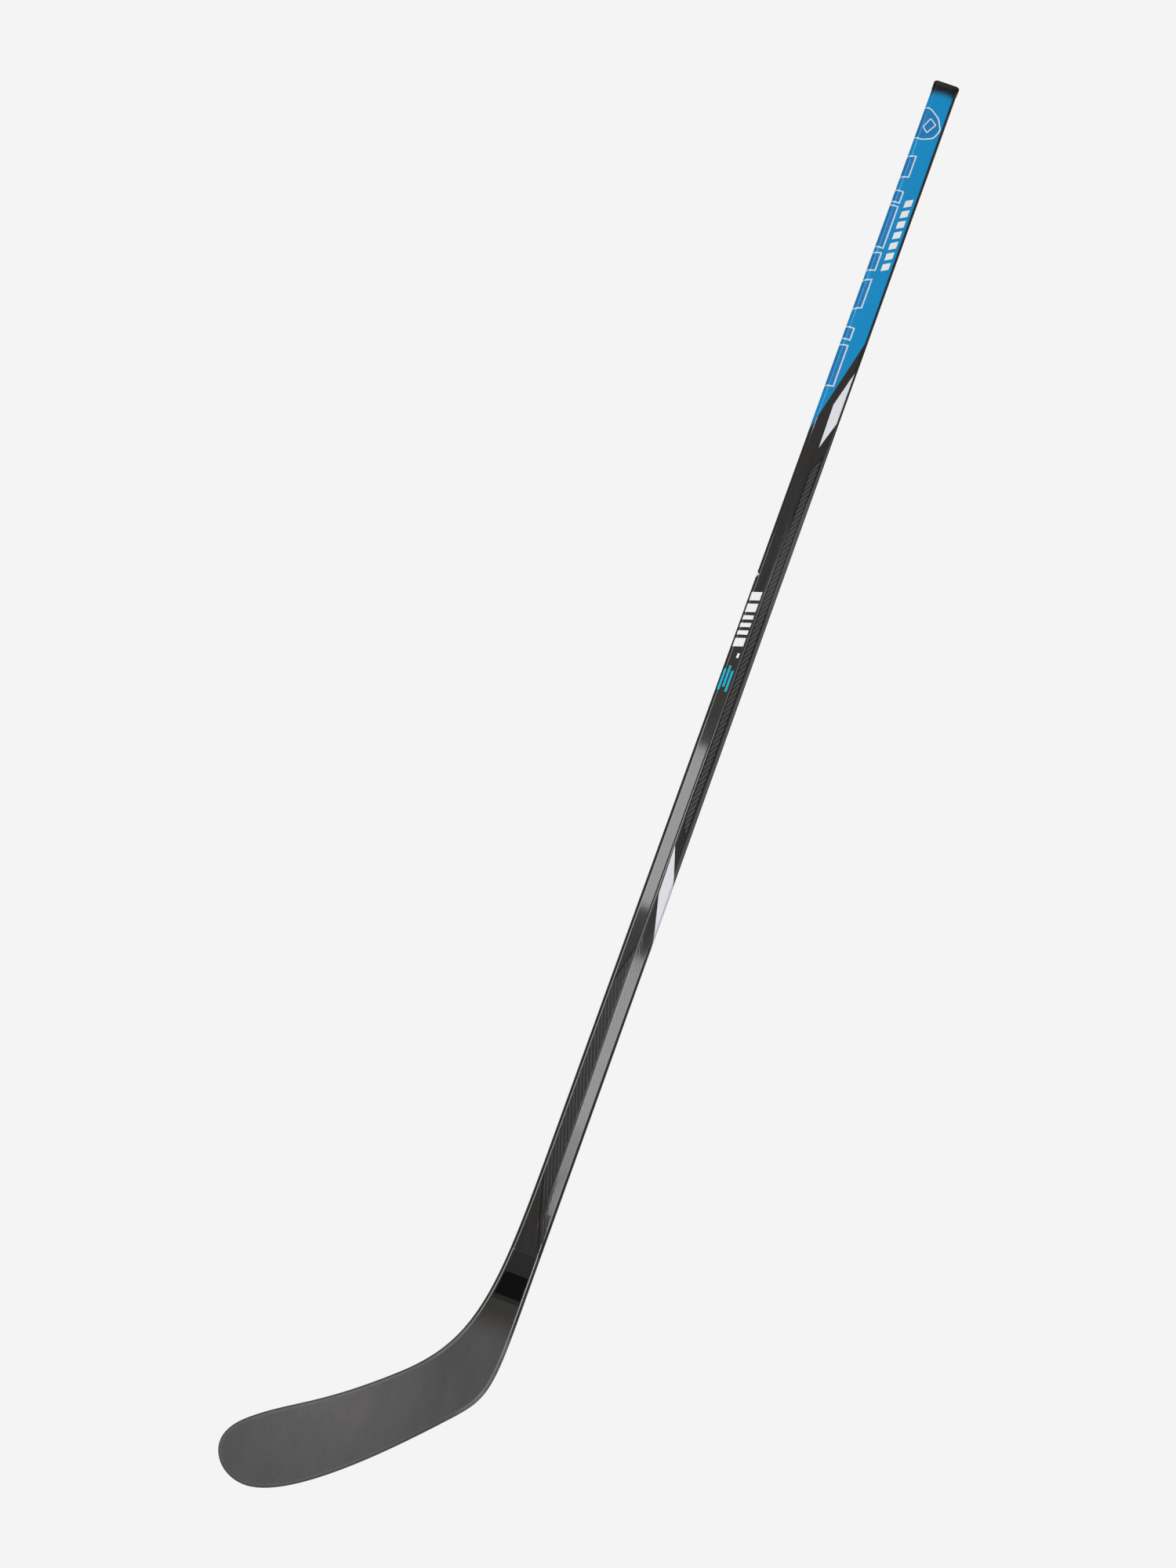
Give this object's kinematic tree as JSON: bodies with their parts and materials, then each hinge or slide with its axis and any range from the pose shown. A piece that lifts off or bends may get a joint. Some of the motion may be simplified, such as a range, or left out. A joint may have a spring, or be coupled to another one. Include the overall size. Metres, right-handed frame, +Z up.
{
  "type": "ice hockey stick",
  "caption": "One-piece composite ice hockey stick: hollow tapered shaft with faceted front, butt end cap, and a curved foam-cored blade fused into the lower end.",
  "frame": {"origin": "on the shaft's centre line where the top hand holds it, 75 mm below the top of the end cap", "axes": "+Z up the shaft to the butt end, -Y out of the front face that the blade bends towards, -X to the blade's side"},
  "size_m": [0.2296, 0.0433, 1.6824],
  "materials": {
    "shaft_laminate": "clear-coated carbon laminate",
    "blade_laminate": "matte woven laminate",
    "edge_braid": "satin braid in resin",
    "cap_rubber": "black rubber",
    "patch_film": "matte black film",
    "foam": "closed-cell foam",
    "adhesive": "cured adhesive",
    "core_laminate": "solid laminate",
    "blue_paint": "satin blue lacquer",
    "light_paint": "light grey lacquer"
  },
  "bodies": {
    "root": {"shaft_tube": "shaft_laminate", "end_cap": "cap_rubber", "cap_glue_sleeve": "adhesive", "butt_foam_plug": "foam", "hosel_foam_plug": "foam", "tenon_glue_sleeve": "adhesive", "blade_tenon": "core_laminate", "hosel_core": "core_laminate", "blade_lower_core": "foam", "blade_centre_rib": "core_laminate", "blade_upper_core": "foam", "toe_insert": "core_laminate", "blade_front_skin": "blade_laminate", "blade_back_skin": "blade_laminate", "blade_edge_wrap": "edge_braid", "hosel_patch": "patch_film"}
  },
  "joints": []
}
